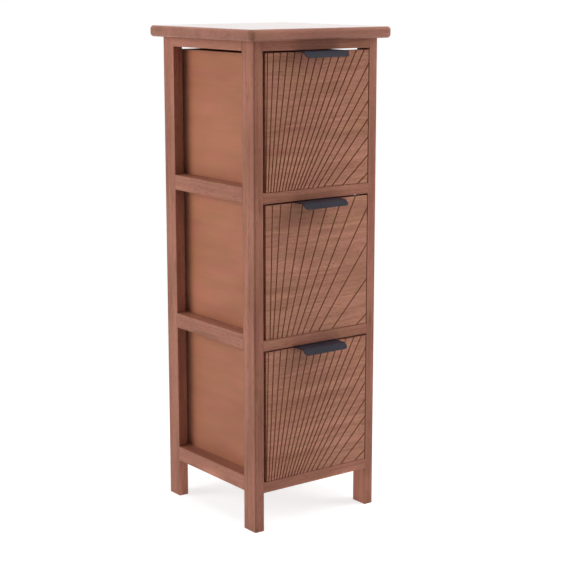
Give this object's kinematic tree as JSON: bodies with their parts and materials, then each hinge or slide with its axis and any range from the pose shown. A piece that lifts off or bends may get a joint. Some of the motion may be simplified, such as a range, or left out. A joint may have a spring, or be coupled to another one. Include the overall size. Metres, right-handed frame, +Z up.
{
  "type": "drawer cabinet",
  "caption": "Tall narrow drawer cabinet: open post-and-rail wooden frame on legs, overhanging top board, sliding drawers with fan-grooved fronts and black bent-plate edge pulls.",
  "frame": {"origin": "on the floor, at the middle of the outline from the handles' lips to the board's rear edge", "axes": "+Z up, drawers open towards -Y, +X to the right as seen from the front"},
  "size_m": [0.293, 0.317, 0.84],
  "materials": {
    "frame_wood": "satin",
    "front_wood": "satin",
    "box_wood": "satin",
    "runner_wood": "matte",
    "dowel_wood": "matte",
    "handle_steel": "satin",
    "screw_steel": "satin"
  },
  "bodies": {
    "cabinet": {"top_board": "frame_wood", "front_left_post": "frame_wood", "front_right_post": "frame_wood", "rear_left_post": "frame_wood", "rear_right_post": "frame_wood", "left_bottom_rail": "frame_wood", "left_lower_rail": "frame_wood", "left_upper_rail": "frame_wood", "left_top_rail": "frame_wood", "right_bottom_rail": "frame_wood", "right_lower_rail": "frame_wood", "right_upper_rail": "frame_wood", "right_top_rail": "frame_wood", "front_bottom_rail": "frame_wood", "front_lower_rail": "frame_wood", "front_upper_rail": "frame_wood", "front_top_rail": "frame_wood", "back_bottom_rail": "frame_wood", "back_lower_rail": "frame_wood", "back_upper_rail": "frame_wood", "back_top_rail": "frame_wood", "lower_left_runner": "runner_wood", "lower_right_runner": "runner_wood", "middle_left_runner": "runner_wood", "middle_right_runner": "runner_wood", "upper_left_runner": "runner_wood", "upper_right_runner": "runner_wood", "left_frame_dowels": "dowel_wood", "right_frame_dowels": "dowel_wood", "front_rail_dowels": "dowel_wood", "back_rail_dowels": "dowel_wood", "top_board_screws": "screw_steel", "runner_screws": "screw_steel"},
    "lower_drawer": {"lower_drawer_front": "front_wood", "lower_drawer_left_side": "box_wood", "lower_drawer_right_side": "box_wood", "lower_drawer_back": "box_wood", "lower_drawer_base": "box_wood", "lower_drawer_handle": "handle_steel", "lower_drawer_handle_screws": "screw_steel", "lower_drawer_dowels": "dowel_wood"},
    "middle_drawer": {"middle_drawer_front": "front_wood", "middle_drawer_left_side": "box_wood", "middle_drawer_right_side": "box_wood", "middle_drawer_back": "box_wood", "middle_drawer_base": "box_wood", "middle_drawer_handle": "handle_steel", "middle_drawer_handle_screws": "screw_steel", "middle_drawer_dowels": "dowel_wood"},
    "upper_drawer": {"upper_drawer_front": "front_wood", "upper_drawer_left_side": "box_wood", "upper_drawer_right_side": "box_wood", "upper_drawer_back": "box_wood", "upper_drawer_base": "box_wood", "upper_drawer_handle": "handle_steel", "upper_drawer_handle_screws": "screw_steel", "upper_drawer_dowels": "dowel_wood"}
  },
  "joints": [
    {"name": "lower_drawer_slide", "type": "slide", "parent": "cabinet", "child": "lower_drawer", "axis": [0, -1, 0], "range_m": [0, 0.19]},
    {"name": "middle_drawer_slide", "type": "slide", "parent": "cabinet", "child": "middle_drawer", "axis": [0, -1, 0], "range_m": [0, 0.19]},
    {"name": "upper_drawer_slide", "type": "slide", "parent": "cabinet", "child": "upper_drawer", "axis": [0, -1, 0], "range_m": [0, 0.19]}
  ]
}
